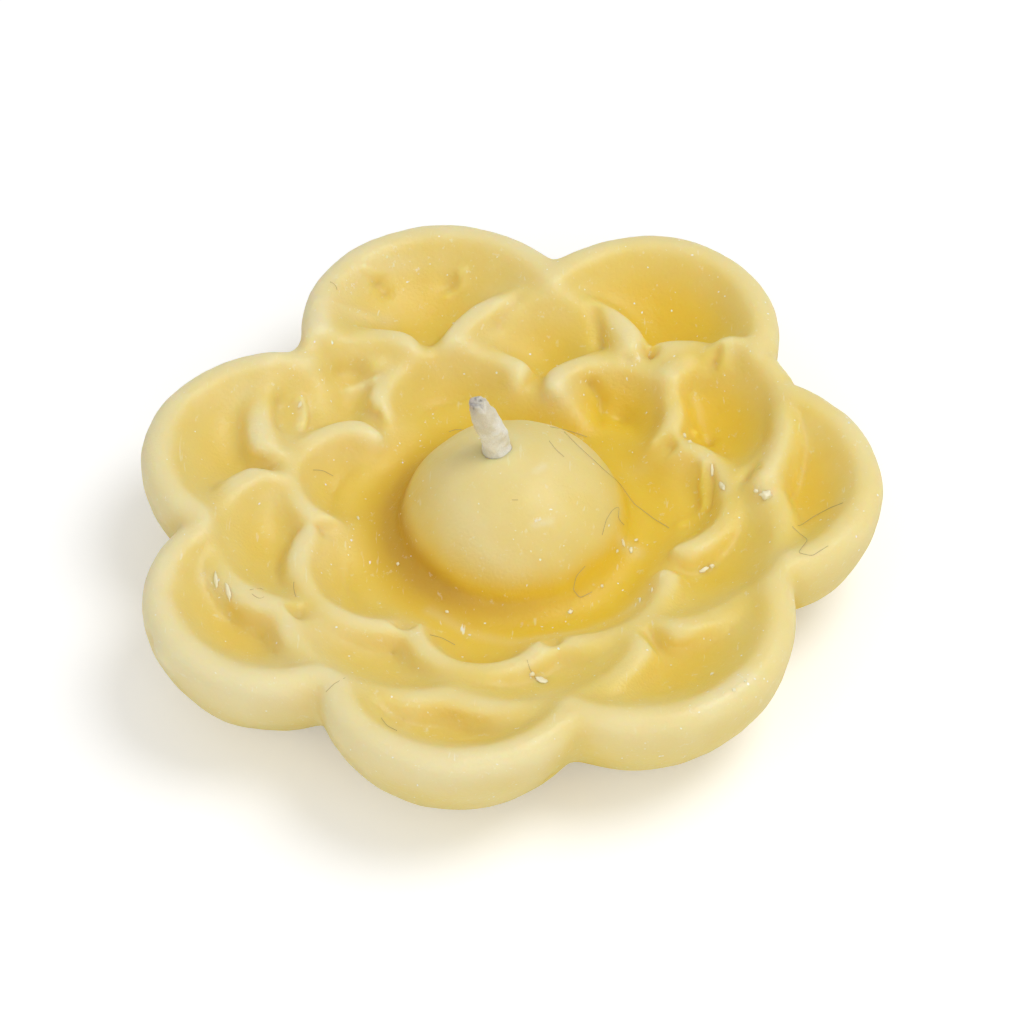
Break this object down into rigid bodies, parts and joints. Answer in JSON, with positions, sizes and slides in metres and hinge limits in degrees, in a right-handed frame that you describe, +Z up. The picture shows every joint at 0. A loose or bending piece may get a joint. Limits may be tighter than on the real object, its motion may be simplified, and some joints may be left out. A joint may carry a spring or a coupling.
{
  "type": "floating flower candle",
  "caption": "Cast beeswax candle shaped as an open flower: three rings of cupped, round-rimmed petals around a round centre with a short leaning cotton wick.",
  "frame": {"origin": "centre of the bounding box's base, on the flat that the candle stands on", "axes": "+Z up through the round centre; the front of the flower, nearest the picture's camera, faces -Y; +X is to the picture's right"},
  "size_m": [0.0749, 0.076, 0.024],
  "materials": {
    "beeswax": "satin, translucent beeswax",
    "wick": "waxed cotton"
  },
  "bodies": {
    "root": {"wax_body": "beeswax", "wick": "wick"}
  },
  "joints": []
}
